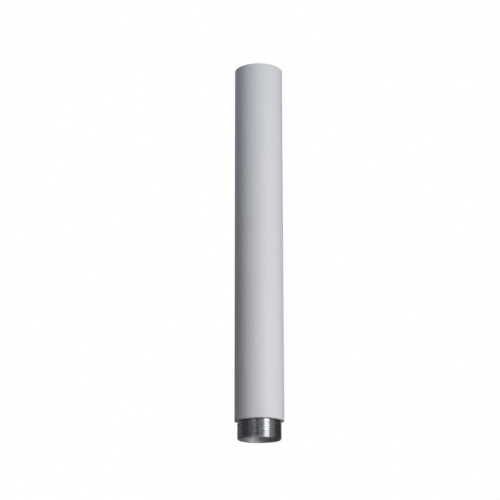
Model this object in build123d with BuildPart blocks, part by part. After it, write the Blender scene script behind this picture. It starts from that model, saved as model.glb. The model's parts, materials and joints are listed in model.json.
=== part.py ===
from build123d import *

import os
from math import radians, tan

# Omnidirectional antenna with a threaded pipe base, in millimetres.
#
# The antenna stands upright: +Z points from the threaded base to the closed top of the radome, and
# the origin is the centre of the base's lower face, on the thread axis. A glass-fibre radome is bonded
# over the spigot of a machined base. Inside it a brass dipole with a tuning sleeve stands on a
# standoff tube. A rigid coaxial line feeds the dipole from a socket that sits back in the base's bore.

# --------------------------------------------------------------------------------------------------
# Driving dimensions
# --------------------------------------------------------------------------------------------------

INCH = 25.4
FIT_GAP = 0.05
PRESS_GAP = 0.02
SCREW_GAP = 0.1
CUT_PAST = 1.0

# Radome tube
RADOME_R = 27.0
RADOME_WALL = 3.0
RADOME_LENGTH = 405.0
RADOME_BORE_R = RADOME_R - RADOME_WALL
RADOME_LOWER_EDGE_R = 0.9
RADOME_UPPER_EDGE_R = 0.6

# Base: 1 1/2 in straight pipe thread with 11.5 turns per inch
MAST_R = 48.26 / 2
MAST_PITCH = INCH / 11.5
MAST_DEPTH = 1.35
MAST_LENGTH = 20.0
MAST_RELIEF_LENGTH = 3.0
MAST_RELIEF_DEPTH = 1.43
MAST_END_CHAMFER = 1.2
MAST_GROOVE_START_Z = -1.5
BASE_BORE_R = 21.0
BASE_LIP_R = 18.5
BASE_POCKET_R = 21.2
BASE_MOUTH_CHAMFER = 0.8
SPIGOT_R = RADOME_BORE_R - FIT_GAP
SPIGOT_LENGTH = 42.0
SPIGOT_CHAMFER = 1.0
O_RING_R = 0.78
O_RING_GROOVE_DEPTH = 1.6
O_RING_GROOVE_WIDTH = 2.4

# N-type socket: 5/8 in thread with 24 turns per inch, one inch square flange
SOCKET_R = 15.875 / 2
SOCKET_PITCH = INCH / 24
SOCKET_DEPTH = 0.6
SOCKET_THREAD_LENGTH = 10.0
SOCKET_EDGE = 0.55
SOCKET_NECK_R = 7.1
SOCKET_BORE_R = 4.05
SOCKET_REAR_R = 5.2
SOCKET_REAR_BORE_R = 3.6
SOCKET_FLANGE = 25.4
SOCKET_FLANGE_THICKNESS = 2.8
SOCKET_FLANGE_CORNER_R = 2.0
SOCKET_HOLE_SPACING = 18.26
CONTACT_R = 1.5

# Rigid coaxial feed line
SHIELD_R = 1.79
DIELECTRIC_R = 1.49
CORE_R = 0.46

# Dipole arms and tuning sleeve
ARM_R = 17.0
ARM_WALL = 0.8
ARM_TUBE_LENGTH = 78.0
ARM_CONE_LENGTH = 14.0
ARM_TIP_R = 6.5
FEED_GAP = 4.0
STUD_R = 3.0
NUT_ACROSS_FLATS = 10.0
NUT_HEIGHT = 5.2
TERMINAL_R = 4.5
SLEEVE_R = 21.2
SLEEVE_WALL = 0.7
SLEEVE_LENGTH = 48.0

# Standoff tube, strut and cable choke
STRUT_R = 9.5
STRUT_BORE_R = 8.0
BEAD_COUNT = 4
BEAD_R = 7.3
BEAD_HOLE_R = 2.4
BEAD_LENGTH = 15.0
BEAD_SPACING = 0.8
SHRINK_WALL = 0.4

# Moulded centring discs and sleeve carriers
RIM_R = RADOME_BORE_R - 0.3
RIM_WALL = 1.4
SPOKE_COUNT = 6
SPOKE_WIDTH = 2.4
WEB_THICKNESS = 4.0
HUB_WALL = 2.0
HUB_LENGTH = 12.0

# Heights on the axis
SHOULDER_Z = MAST_LENGTH
RADOME_TOP_Z = SHOULDER_Z + RADOME_LENGTH
SPIGOT_TOP_Z = SHOULDER_Z + SPIGOT_LENGTH
LIP_Z = 24.0
PLATE_Z = 27.0
PLATE_TOP_Z = 30.5
GASKET_THICKNESS = 0.8
FLANGE_TOP_Z = PLATE_Z - GASKET_THICKNESS
FLANGE_Z = FLANGE_TOP_Z - SOCKET_FLANGE_THICKNESS
SOCKET_FACE_Z = 8.0
SOCKET_REAR_Z = 33.0
STANDOFF_SEAT_Z = PLATE_TOP_Z + 3.0
BEAD_Z = 60.0
LOWER_FOOT_Z = 134.0
LOWER_TIP_Z = LOWER_FOOT_Z + ARM_TUBE_LENGTH + ARM_CONE_LENGTH
FEED_MIDDLE_Z = LOWER_TIP_Z + FEED_GAP / 2
UPPER_TIP_Z = LOWER_TIP_Z + FEED_GAP
UPPER_FOOT_Z = UPPER_TIP_Z + ARM_CONE_LENGTH + ARM_TUBE_LENGTH
STUD_REACH = ARM_WALL + NUT_HEIGHT
STRUT_TOP_Z = 412.0
DAMPER_TOP_Z = 415.0
PLUG_SKIRT_Z = 405.0
PLUG_DISC_Z = 420.0
PLUG_TOP_Z = RADOME_TOP_Z - 0.3


# --------------------------------------------------------------------------------------------------
# Helpers
# --------------------------------------------------------------------------------------------------


def save(piece, label):
    """Labels a finished sub-part and writes it to parts/LABEL.step."""
    piece.label = label
    export_step(piece, f"parts/{label}.step")


def ring(inner_r, outer_r, start_z, end_z):
    """Half section of a plain ring in the open sketch, with its two heights in either order."""
    with Locations(((inner_r + outer_r) / 2, (start_z + end_z) / 2)):
        Rectangle(outer_r - inner_r, abs(end_z - start_z))


def outline(*points):
    """Closed half section in the open sketch, given as (radius, height) corners."""
    Polygon(*points, align=None)


def thread_groove(major_r, pitch, depth, low_z, high_z):
    """Helical groove with 60 degree flanks and a flat root, which opens past the major radius."""
    root_half = pitch / 16
    overshoot = pitch / 10
    mouth_half = root_half + (depth + overshoot) * tan(radians(30))
    with BuildPart() as groove:
        with BuildLine() as path:
            Helix(pitch, high_z - low_z, major_r, center=(0, 0, low_z))
        with BuildSketch(Plane(path.line @ 0, x_dir=(1, 0, 0), z_dir=path.line % 0)):
            outline(
                (-depth, -root_half),
                (-depth, root_half),
                (overshoot, mouth_half),
                (overshoot, -mouth_half),
            )
        sweep(path=path.line, is_frenet=True)
    return groove.part


def make_ring(label, inner_r, outer_r, low_z, high_z, edge=0.0):
    """Plain round tube about Z, with its end edges broken by a chamfer."""
    with BuildPart() as tube:
        with BuildSketch(Plane.XZ):
            ring(inner_r, outer_r, low_z, high_z)
        revolve(axis=Axis.Z)
        if edge:
            chamfer(tube.edges().filter_by(GeomType.CIRCLE), edge)
    save(tube.part, label)


def make_o_ring(label, centre_r, section_r, z):
    """Round-section seal about Z."""
    with BuildPart() as seal:
        with BuildSketch(Plane.XZ):
            with Locations((centre_r, z)):
                Circle(section_r)
        revolve(axis=Axis.Z)
    save(seal.part, label)


def make_screws(label, shank_r, length, seat_z, points_up, circle_r, count, start_angle):
    """Identical pan-head screws with a cross recess, on a circle, with their heads' seats at seat_z."""
    head_r = shank_r * 1.75
    head_height = shank_r * 1.3
    crown_round = head_height * 0.4
    recess_length = head_r * 1.1
    recess_width = head_r * 0.25
    recess_depth = head_height * 0.6
    way = 1 if points_up else -1
    crown = Plane.XY.offset(seat_z - way * head_height)
    with BuildPart() as screws:
        with BuildSketch(Plane.XY.offset(seat_z)):
            with PolarLocations(circle_r, count, start_angle):
                Circle(head_r)
        extrude(amount=-way * head_height)
        crowns = screws.faces().group_by(Axis.Z)[0 if points_up else -1]
        fillet(crowns.edges(), crown_round)
        with BuildSketch(Plane.XY.offset(seat_z)):
            with PolarLocations(circle_r, count, start_angle):
                Circle(shank_r)
        extrude(amount=way * length)
        with BuildSketch(crown):
            with PolarLocations(circle_r, count, start_angle):
                Rectangle(recess_length, recess_width)
                Rectangle(recess_width, recess_length)
        extrude(amount=way * recess_depth, mode=Mode.SUBTRACT)
    save(screws.part, label)


os.makedirs("parts", exist_ok=True)

# --------------------------------------------------------------------------------------------------
# Radome
# --------------------------------------------------------------------------------------------------

with BuildPart() as radome_tube:
    with BuildSketch(Plane.XZ):
        ring(RADOME_BORE_R, RADOME_R, SHOULDER_Z, RADOME_TOP_Z)
    revolve(axis=Axis.Z)
    rims = radome_tube.edges().filter_by(GeomType.CIRCLE).group_by(SortBy.RADIUS)[-1]
    fillet(rims.sort_by(Axis.Z)[0], RADOME_LOWER_EDGE_R)
    rims = radome_tube.edges().filter_by(GeomType.CIRCLE).group_by(SortBy.RADIUS)[-1]
    fillet(rims.sort_by(Axis.Z)[-1], RADOME_UPPER_EDGE_R)
save(radome_tube.part, "radome_tube")

# --------------------------------------------------------------------------------------------------
# Base: thread, open bore, lip for the connector plate, and spigot
# --------------------------------------------------------------------------------------------------

relief_r = MAST_R - MAST_RELIEF_DEPTH
relief_z = SHOULDER_Z - MAST_RELIEF_LENGTH
mast_groove_end_z = SHOULDER_Z - MAST_RELIEF_LENGTH / 2
ring_groove_depth = 0.9
ring_groove_r = BASE_POCKET_R + ring_groove_depth
ring_groove_height = 1.4
base_o_ring_heights = {"lower": 40.0, "upper": 54.0}
bond_groove_heights = (44.5, 47.0, 49.5)
bond_groove_width = 1.2
bond_groove_depth = 0.4
mast_groove = thread_groove(MAST_R, MAST_PITCH, MAST_DEPTH, MAST_GROOVE_START_Z, mast_groove_end_z)

with BuildPart() as threaded_base:
    with BuildSketch(Plane.XZ):
        outline(
            (BASE_BORE_R + BASE_MOUTH_CHAMFER, 0),
            (MAST_R - MAST_END_CHAMFER, 0),
            (MAST_R, MAST_END_CHAMFER),
            (MAST_R, relief_z),
            (relief_r, relief_z),
            (relief_r, SHOULDER_Z),
            (SPIGOT_R, SHOULDER_Z),
            (SPIGOT_R, SPIGOT_TOP_Z - SPIGOT_CHAMFER),
            (SPIGOT_R - SPIGOT_CHAMFER, SPIGOT_TOP_Z),
            (BASE_POCKET_R, SPIGOT_TOP_Z),
            (BASE_POCKET_R, PLATE_Z),
            (BASE_LIP_R, PLATE_Z),
            (BASE_LIP_R, LIP_Z),
            (BASE_BORE_R, LIP_Z),
            (BASE_BORE_R, BASE_MOUTH_CHAMFER),
        )
    revolve(axis=Axis.Z)
    add(mast_groove, mode=Mode.SUBTRACT)
    with BuildSketch(Plane.XZ):
        for height in base_o_ring_heights.values():
            half = O_RING_GROOVE_WIDTH / 2
            ring(SPIGOT_R - O_RING_GROOVE_DEPTH, SPIGOT_R + CUT_PAST, height - half, height + half)
        for height in bond_groove_heights:
            half = bond_groove_width / 2
            ring(SPIGOT_R - bond_groove_depth, SPIGOT_R + CUT_PAST, height - half, height + half)
        ring(BASE_POCKET_R - CUT_PAST, ring_groove_r, PLATE_TOP_Z, PLATE_TOP_Z + ring_groove_height)
    revolve(axis=Axis.Z, mode=Mode.SUBTRACT)
save(threaded_base.part, "threaded_base")

for place, height in base_o_ring_heights.items():
    make_o_ring(f"spigot_o_ring_{place}", SPIGOT_R - O_RING_R, O_RING_R, height)

# --------------------------------------------------------------------------------------------------
# Connector plate, with its seal, retaining ring and breather
# --------------------------------------------------------------------------------------------------

plate_r = BASE_POCKET_R - FIT_GAP
plate_hole_r = SOCKET_REAR_R + 0.2
plate_chamfer = 0.3
plate_groove_depth = 1.45
plate_groove_r = plate_r - plate_groove_depth
plate_groove_z = 28.75
plate_groove_half = 0.9
plate_seal_r = 0.7
flange_hole_circle_r = SOCKET_HOLE_SPACING / 2 * 2**0.5
flange_screw_r = 1.5
foot_screw_r = 1.25
foot_screw_circle_r = 13.8
foot_screw_angle = 60
vent_x = 15.6
vent_shank_r = 1.9
vent_head_r = 2.4
vent_head_height = 1.4
vent_head_chamfer = 0.2
vent_hole_r = 0.3
vent_hole_circle_r = 0.9
vent_hole_depth = 1.0

with BuildPart() as connector_plate:
    with BuildSketch(Plane.XZ):
        ring(plate_hole_r, plate_r, PLATE_Z, PLATE_TOP_Z)
    revolve(axis=Axis.Z)
    chamfer(connector_plate.edges().filter_by(GeomType.CIRCLE).group_by(SortBy.RADIUS)[-1], plate_chamfer)
    with BuildSketch(Plane.XZ):
        groove_low_z = plate_groove_z - plate_groove_half
        ring(plate_groove_r, plate_r + CUT_PAST, groove_low_z, groove_low_z + 2 * plate_groove_half)
    revolve(axis=Axis.Z, mode=Mode.SUBTRACT)
    with BuildSketch(Plane.XY.offset(PLATE_Z)):
        with GridLocations(SOCKET_HOLE_SPACING, SOCKET_HOLE_SPACING, 2, 2):
            Circle(flange_screw_r + PRESS_GAP)
        with PolarLocations(foot_screw_circle_r, 3, foot_screw_angle):
            Circle(foot_screw_r + PRESS_GAP)
        with Locations((vent_x, 0)):
            Circle(vent_shank_r + PRESS_GAP)
    extrude(amount=PLATE_TOP_Z - PLATE_Z, mode=Mode.SUBTRACT)
save(connector_plate.part, "connector_plate")

make_o_ring("plate_o_ring", plate_groove_r + PRESS_GAP + plate_seal_r, plate_seal_r, plate_groove_z)

circlip_outer_r = ring_groove_r - SCREW_GAP
circlip_width = 2.5
circlip_gap = 8.4
circlip_gap_angle = 120
circlip_gap_depth = 9.0
lug_angle = 15
lug_circle_r = 19.5
lug_r = 2.4
lug_hole_r = 1.0
with BuildPart() as retaining_ring:
    with BuildSketch(Plane.XY.offset(PLATE_TOP_Z + FIT_GAP)):
        Circle(circlip_outer_r)
        Circle(circlip_outer_r - circlip_width, mode=Mode.SUBTRACT)
        with PolarLocations(lug_circle_r, 1, circlip_gap_angle):
            Rectangle(circlip_gap_depth, circlip_gap, mode=Mode.SUBTRACT)
        for side in (-1, 1):
            with PolarLocations(lug_circle_r, 1, circlip_gap_angle + side * lug_angle):
                Circle(lug_r)
                Circle(lug_hole_r, mode=Mode.SUBTRACT)
    extrude(amount=ring_groove_height - 2 * FIT_GAP)
save(retaining_ring.part, "retaining_ring")

with BuildPart() as vent_plug:
    with BuildSketch(Plane.XY.offset(PLATE_Z)):
        with Locations((vent_x, 0)):
            RegularPolygon(vent_head_r, 6)
    extrude(amount=-vent_head_height)
    chamfer(vent_plug.faces().sort_by(Axis.Z)[0].edges(), vent_head_chamfer)
    with BuildSketch(Plane.XY.offset(PLATE_Z)):
        with Locations((vent_x, 0)):
            Circle(vent_shank_r)
    extrude(amount=PLATE_TOP_Z - PLATE_Z)
    with BuildSketch(Plane.XY.offset(PLATE_Z - vent_head_height)):
        with Locations((vent_x, 0)):
            with PolarLocations(vent_hole_circle_r, 3):
                Circle(vent_hole_r)
    extrude(amount=vent_hole_depth, mode=Mode.SUBTRACT)
save(vent_plug.part, "vent_plug")

# --------------------------------------------------------------------------------------------------
# N-type socket
# --------------------------------------------------------------------------------------------------

socket_thread_top_z = SOCKET_FACE_Z + SOCKET_THREAD_LENGTH
socket_groove_run = 0.6
insulator_face_z = SOCKET_FACE_Z + 9.2
insulator_step_z = 22.0
insulator_rear_z = 31.0
insulator_r = SOCKET_BORE_R - PRESS_GAP
insulator_rear_r = SOCKET_REAR_BORE_R - PRESS_GAP
contact_tip_z = SOCKET_FACE_Z + 4.7
contact_tip_edge = 0.2
contact_rear_z = 32.0
contact_bore_r = 0.83
contact_bore_depth = 6.0
contact_slot_length = 4.0
contact_slot_width = 0.3
contact_slot_depth = 2.2
solder_cup_r = CORE_R + PRESS_GAP
solder_cup_depth = 3.0
socket_groove = thread_groove(
    SOCKET_R,
    SOCKET_PITCH,
    SOCKET_DEPTH,
    SOCKET_FACE_Z - socket_groove_run,
    socket_thread_top_z + socket_groove_run,
)

with BuildPart() as connector_shell:
    with BuildSketch(Plane.XZ):
        outline(
            (SOCKET_BORE_R + SOCKET_EDGE, SOCKET_FACE_Z),
            (SOCKET_R - SOCKET_EDGE, SOCKET_FACE_Z),
            (SOCKET_R, SOCKET_FACE_Z + SOCKET_EDGE),
            (SOCKET_R, socket_thread_top_z),
            (SOCKET_NECK_R, socket_thread_top_z),
            (SOCKET_NECK_R, FLANGE_TOP_Z),
            (SOCKET_REAR_R, FLANGE_TOP_Z),
            (SOCKET_REAR_R, SOCKET_REAR_Z),
            (SOCKET_REAR_BORE_R, SOCKET_REAR_Z),
            (SOCKET_REAR_BORE_R, insulator_step_z),
            (SOCKET_BORE_R, insulator_step_z),
            (SOCKET_BORE_R, SOCKET_FACE_Z + SOCKET_EDGE),
        )
    revolve(axis=Axis.Z)
    add(socket_groove, mode=Mode.SUBTRACT)
    with BuildSketch(Plane.XY.offset(FLANGE_Z)):
        RectangleRounded(SOCKET_FLANGE, SOCKET_FLANGE, SOCKET_FLANGE_CORNER_R)
        Circle(SOCKET_REAR_R, mode=Mode.SUBTRACT)
        with GridLocations(SOCKET_HOLE_SPACING, SOCKET_HOLE_SPACING, 2, 2):
            Circle(flange_screw_r + SCREW_GAP, mode=Mode.SUBTRACT)
    extrude(amount=SOCKET_FLANGE_THICKNESS)
save(connector_shell.part, "connector_shell")

with BuildPart() as connector_gasket:
    with BuildSketch(Plane.XY.offset(FLANGE_TOP_Z)):
        RectangleRounded(SOCKET_FLANGE, SOCKET_FLANGE, SOCKET_FLANGE_CORNER_R)
        Circle(SOCKET_REAR_R + FIT_GAP, mode=Mode.SUBTRACT)
        with GridLocations(SOCKET_HOLE_SPACING, SOCKET_HOLE_SPACING, 2, 2):
            Circle(flange_screw_r + SCREW_GAP, mode=Mode.SUBTRACT)
    extrude(amount=GASKET_THICKNESS)
save(connector_gasket.part, "connector_gasket")

with BuildPart() as connector_dielectric:
    with BuildSketch(Plane.XZ):
        outline(
            (CONTACT_R, insulator_face_z),
            (insulator_r, insulator_face_z),
            (insulator_r, insulator_step_z - PRESS_GAP),
            (insulator_rear_r, insulator_step_z - PRESS_GAP),
            (insulator_rear_r, insulator_rear_z),
            (CONTACT_R, insulator_rear_z),
        )
    revolve(axis=Axis.Z)
save(connector_dielectric.part, "connector_dielectric")

with BuildPart() as connector_contact:
    with BuildSketch(Plane.XZ):
        outline(
            (contact_bore_r, contact_tip_z),
            (CONTACT_R - contact_tip_edge, contact_tip_z),
            (CONTACT_R, contact_tip_z + 2 * contact_tip_edge),
            (CONTACT_R, contact_rear_z),
            (solder_cup_r, contact_rear_z),
            (solder_cup_r, contact_rear_z - solder_cup_depth),
            (0, contact_rear_z - solder_cup_depth),
            (0, contact_tip_z + contact_bore_depth),
            (contact_bore_r, contact_tip_z + contact_bore_depth),
        )
    revolve(axis=Axis.Z)
    with BuildSketch(Plane.XY.offset(contact_tip_z)):
        Rectangle(contact_slot_length, contact_slot_width)
        Rectangle(contact_slot_width, contact_slot_length)
    extrude(amount=contact_slot_depth, mode=Mode.SUBTRACT)
save(connector_contact.part, "connector_contact")

flange_screw_length = 6.5
make_screws(
    "connector_screws",
    flange_screw_r,
    flange_screw_length,
    FLANGE_Z,
    points_up=True,
    circle_r=flange_hole_circle_r,
    count=4,
    start_angle=45,
)

ferrule_bore_r = SHIELD_R + PRESS_GAP
ferrule_sleeve_r = SHIELD_R + 1.1
ferrule_plug_z = insulator_rear_z + 1.2
ferrule_cone_z = SOCKET_REAR_Z + 2.0
ferrule_sleeve_z = SOCKET_REAR_Z + 3.5
ferrule_top_z = SOCKET_REAR_Z + 8.0
with BuildPart() as cable_ferrule:
    with BuildSketch(Plane.XZ):
        outline(
            (ferrule_bore_r, ferrule_plug_z),
            (insulator_rear_r, ferrule_plug_z),
            (insulator_rear_r, SOCKET_REAR_Z),
            (SOCKET_REAR_R, SOCKET_REAR_Z),
            (SOCKET_REAR_R, ferrule_cone_z),
            (ferrule_sleeve_r, ferrule_sleeve_z),
            (ferrule_sleeve_r, ferrule_top_z),
            (ferrule_bore_r, ferrule_top_z),
        )
    revolve(axis=Axis.Z)
save(cable_ferrule.part, "cable_ferrule")

# --------------------------------------------------------------------------------------------------
# Feed line and choke
# --------------------------------------------------------------------------------------------------

shield_end_z = LOWER_TIP_Z - 1.2
dielectric_start_z = contact_rear_z + 0.3
dielectric_end_z = UPPER_TIP_Z + 2.5
terminal_thickness = 2.0
core_start_z = contact_rear_z - solder_cup_depth + 0.2
core_end_z = UPPER_TIP_Z + STUD_REACH + terminal_thickness
make_ring("feed_cable_shield", DIELECTRIC_R, SHIELD_R, SOCKET_REAR_Z, shield_end_z)
make_ring("feed_cable_dielectric", CORE_R, DIELECTRIC_R, dielectric_start_z, dielectric_end_z)

with BuildPart() as feed_cable_core:
    with BuildSketch(Plane.XY.offset(core_start_z)):
        Circle(CORE_R)
    extrude(amount=core_end_z - core_start_z)
save(feed_cable_core.part, "feed_cable_core")

bead_chamfer = 0.6

for number in range(BEAD_COUNT):
    bead_z = BEAD_Z + number * (BEAD_LENGTH + BEAD_SPACING)
    bead_label = f"ferrite_bead_{number + 1}"
    make_ring(bead_label, BEAD_HOLE_R, BEAD_R, bead_z, bead_z + BEAD_LENGTH, edge=bead_chamfer)

beads_top_z = BEAD_Z + BEAD_COUNT * BEAD_LENGTH + (BEAD_COUNT - 1) * BEAD_SPACING
shrink_inner_r = BEAD_R + FIT_GAP
shrink_outer_r = shrink_inner_r + SHRINK_WALL
neck_inner_r = SHIELD_R + FIT_GAP
neck_outer_r = neck_inner_r + SHRINK_WALL
shrink_end = 12.0
shrink_cone = 5.5
shrink_slack = 0.1
with BuildPart() as bead_heat_shrink:
    with BuildSketch(Plane.XZ):
        outline(
            (neck_inner_r, BEAD_Z - shrink_end),
            (neck_outer_r, BEAD_Z - shrink_end),
            (neck_outer_r, BEAD_Z - shrink_cone - SHRINK_WALL),
            (shrink_outer_r, BEAD_Z - shrink_slack - SHRINK_WALL),
            (shrink_outer_r, beads_top_z + shrink_slack + SHRINK_WALL),
            (neck_outer_r, beads_top_z + shrink_cone + SHRINK_WALL),
            (neck_outer_r, beads_top_z + shrink_end),
            (neck_inner_r, beads_top_z + shrink_end),
            (neck_inner_r, beads_top_z + shrink_cone),
            (shrink_inner_r, beads_top_z + shrink_slack),
            (shrink_inner_r, BEAD_Z - shrink_slack),
            (neck_inner_r, BEAD_Z - shrink_cone),
        )
    revolve(axis=Axis.Z)
save(bead_heat_shrink.part, "bead_heat_shrink")

# --------------------------------------------------------------------------------------------------
# Standoff: foot, screws and tube
# --------------------------------------------------------------------------------------------------

boss_r = STRUT_R + 1.7
foot_r = boss_r + 1.0
foot_hole_r = SOCKET_REAR_R + 0.8
foot_ear_r = 3.0
foot_ear_circle_r = foot_screw_circle_r - 0.2
foot_screw_length = 5.6
with BuildPart() as standoff_flange:
    with BuildSketch(Plane.XY.offset(PLATE_TOP_Z)):
        Circle(foot_r)
        with PolarLocations(foot_ear_circle_r, 3, foot_screw_angle):
            Circle(foot_ear_r)
        Circle(foot_hole_r, mode=Mode.SUBTRACT)
        with PolarLocations(foot_screw_circle_r, 3, foot_screw_angle):
            Circle(foot_screw_r + SCREW_GAP, mode=Mode.SUBTRACT)
    extrude(amount=STANDOFF_SEAT_Z - PLATE_TOP_Z)
    with BuildSketch(Plane.XY.offset(STANDOFF_SEAT_Z)):
        Circle(boss_r)
        Circle(STRUT_R + FIT_GAP, mode=Mode.SUBTRACT)
    extrude(amount=HUB_LENGTH)
save(standoff_flange.part, "standoff_flange")

make_screws(
    "standoff_screws",
    foot_screw_r,
    foot_screw_length,
    STANDOFF_SEAT_Z,
    points_up=False,
    circle_r=foot_screw_circle_r,
    count=3,
    start_angle=foot_screw_angle,
)

tube_step = 2.0
make_ring("standoff_tube", STRUT_BORE_R, STRUT_R, STANDOFF_SEAT_Z, LOWER_FOOT_Z - tube_step)

# --------------------------------------------------------------------------------------------------
# Dipole: centring discs, arms, feed hub, nuts and terminals
# --------------------------------------------------------------------------------------------------

rim_height = 10.0
hub_r = STRUT_R + HUB_WALL
disc_spigot_height = 8.0
disc_spigot_wall = 1.5
disc_seat_r = ARM_R + 0.6
tube_stop_r = 6.5


def make_centring_disc(label, foot_z, way):
    """Moulded disc with spokes. The arm stands on it at foot_z, on the side way (1 or -1) points to."""
    web_z = foot_z - way * WEB_THICKNESS
    step_z = foot_z - way * tube_step
    disc_spigot_r = ARM_R - ARM_WALL - FIT_GAP
    disc_inner_r = disc_spigot_r - disc_spigot_wall
    inner_end = hub_r - HUB_WALL / 2
    outer_end = RIM_R - RIM_WALL / 2
    with BuildPart() as disc:
        with BuildSketch(Plane.XZ):
            ring(RIM_R - RIM_WALL, RIM_R, foot_z, foot_z - way * rim_height)
            ring(disc_inner_r, disc_seat_r, foot_z, web_z)
            ring(disc_inner_r, disc_spigot_r, foot_z, foot_z + way * disc_spigot_height)
            ring(tube_stop_r, hub_r, foot_z, step_z)
            ring(STRUT_R + FIT_GAP, hub_r, step_z, foot_z - way * HUB_LENGTH)
        revolve(axis=Axis.Z)
        with BuildSketch(Plane.XY.offset(web_z)):
            with PolarLocations((inner_end + outer_end) / 2, SPOKE_COUNT):
                Rectangle(outer_end - inner_end, SPOKE_WIDTH)
        extrude(amount=way * WEB_THICKNESS)
    save(disc.part, label)


def make_arm(label, foot_z, way):
    """Spun brass arm: a tube that narrows to a small flat tip, with a hole for the hub's stud."""
    cone_z = foot_z + way * ARM_TUBE_LENGTH
    tip_z = cone_z + way * ARM_CONE_LENGTH
    slope = (ARM_R - ARM_TIP_R) / ARM_CONE_LENGTH
    cone_wall = ARM_WALL * (1 + slope**2) ** 0.5
    tip_depth = ARM_CONE_LENGTH - ARM_WALL
    with BuildPart() as arm:
        with BuildSketch(Plane.XZ):
            outline(
                (ARM_R, foot_z),
                (ARM_R, cone_z),
                (ARM_TIP_R, tip_z),
                (STUD_R + FIT_GAP, tip_z),
                (STUD_R + FIT_GAP, tip_z - way * ARM_WALL),
                (ARM_R - cone_wall - slope * tip_depth, tip_z - way * ARM_WALL),
                (ARM_R - ARM_WALL, cone_z - way * (cone_wall - ARM_WALL) / slope),
                (ARM_R - ARM_WALL, foot_z),
            )
        revolve(axis=Axis.Z)
    save(arm.part, label)


def make_feed_nut(label, seat_z, way):
    """Hexagon nut on the hub's stud, with the corners of its outer end broken."""
    corner_r = NUT_ACROSS_FLATS / 3**0.5
    corner_cut = 0.8
    corner_z = seat_z + way * (NUT_HEIGHT - 0.5)
    top_z = seat_z + way * NUT_HEIGHT
    with BuildPart() as nut:
        with BuildSketch(Plane.XZ):
            outline(
                (STUD_R + FIT_GAP, seat_z),
                (corner_r, seat_z),
                (corner_r, corner_z),
                (corner_r - corner_cut, top_z),
                (STUD_R + FIT_GAP, top_z),
            )
        revolve(axis=Axis.Z)
        with BuildSketch(Plane.XY.offset(seat_z)):
            RegularPolygon(NUT_ACROSS_FLATS / 2, 6, major_radius=False)
        extrude(amount=way * NUT_HEIGHT, mode=Mode.INTERSECT)
    save(nut.part, label)


make_centring_disc("lower_centring_disc", LOWER_FOOT_Z, 1)
make_centring_disc("upper_centring_disc", UPPER_FOOT_Z, -1)
make_arm("lower_radiator", LOWER_FOOT_Z, 1)
make_arm("upper_radiator", UPPER_FOOT_Z, -1)
make_feed_nut("lower_feed_nut", LOWER_TIP_Z - ARM_WALL, -1)
make_feed_nut("upper_feed_nut", UPPER_TIP_Z + ARM_WALL, 1)

shield_hole_r = SHIELD_R + PRESS_GAP
dielectric_hole_r = DIELECTRIC_R + PRESS_GAP
core_hole_r = CORE_R + PRESS_GAP
with BuildPart() as feed_hub:
    with BuildSketch(Plane.XZ):
        outline(
            (shield_hole_r, LOWER_TIP_Z - STUD_REACH),
            (STUD_R, LOWER_TIP_Z - STUD_REACH),
            (STUD_R, LOWER_TIP_Z),
            (ARM_TIP_R, LOWER_TIP_Z),
            (ARM_TIP_R, UPPER_TIP_Z),
            (STUD_R, UPPER_TIP_Z),
            (STUD_R, UPPER_TIP_Z + STUD_REACH),
            (core_hole_r, UPPER_TIP_Z + STUD_REACH),
            (core_hole_r, dielectric_end_z),
            (dielectric_hole_r, dielectric_end_z),
            (dielectric_hole_r, shield_end_z),
            (shield_hole_r, shield_end_z),
        )
    revolve(axis=Axis.Z)
save(feed_hub.part, "feed_hub")

collar_top_z = LOWER_TIP_Z - STUD_REACH
collar_z = collar_top_z - 3.0
terminal_z = UPPER_TIP_Z + STUD_REACH
make_ring("shield_collar", shield_hole_r, TERMINAL_R, collar_z, collar_top_z, edge=0.4)
make_ring("core_terminal", core_hole_r, TERMINAL_R, terminal_z, core_end_z, edge=0.2)

# --------------------------------------------------------------------------------------------------
# Tuning sleeve and its carriers
# --------------------------------------------------------------------------------------------------

sleeve_low_z = FEED_MIDDLE_Z - SLEEVE_LENGTH / 2
sleeve_high_z = FEED_MIDDLE_Z + SLEEVE_LENGTH / 2
carrier_web = 3.0
carrier_collar = 5.0
carrier_wall = 1.3
carrier_hole_r = 0.9
carrier_hole_count = 12
make_ring("tuning_sleeve", SLEEVE_R - SLEEVE_WALL, SLEEVE_R, sleeve_low_z, sleeve_high_z)


def make_sleeve_carrier(label, seat_z, way):
    """Moulded ring that grips an arm and holds the sleeve's end at seat_z, open to the side of way."""
    arm_r = ARM_R + FIT_GAP
    grip_r = arm_r + carrier_wall
    sleeve_r = SLEEVE_R + FIT_GAP
    web_z = seat_z - way * carrier_web
    collar_end_z = seat_z + way * carrier_collar
    with BuildPart() as carrier:
        with BuildSketch(Plane.XZ):
            ring(arm_r, RIM_R, seat_z, web_z)
            ring(arm_r, grip_r, seat_z, collar_end_z)
            ring(sleeve_r, sleeve_r + carrier_wall, seat_z, collar_end_z)
        revolve(axis=Axis.Z)
        with BuildSketch(Plane.XY.offset(web_z)):
            with PolarLocations((grip_r + SLEEVE_R - SLEEVE_WALL) / 2, carrier_hole_count):
                Circle(carrier_hole_r)
        extrude(amount=way * carrier_web, mode=Mode.SUBTRACT)
    save(carrier.part, label)


make_sleeve_carrier("sleeve_carrier_lower", sleeve_low_z, 1)
make_sleeve_carrier("sleeve_carrier_upper", sleeve_high_z, -1)

# --------------------------------------------------------------------------------------------------
# Top: strut, damper, plug and seals
# --------------------------------------------------------------------------------------------------

make_ring("top_strut", STRUT_BORE_R, STRUT_R, UPPER_FOOT_Z + tube_step, STRUT_TOP_Z)
make_ring("damper_ring", STRUT_BORE_R, STRUT_R, STRUT_TOP_Z, DAMPER_TOP_Z)

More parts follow.
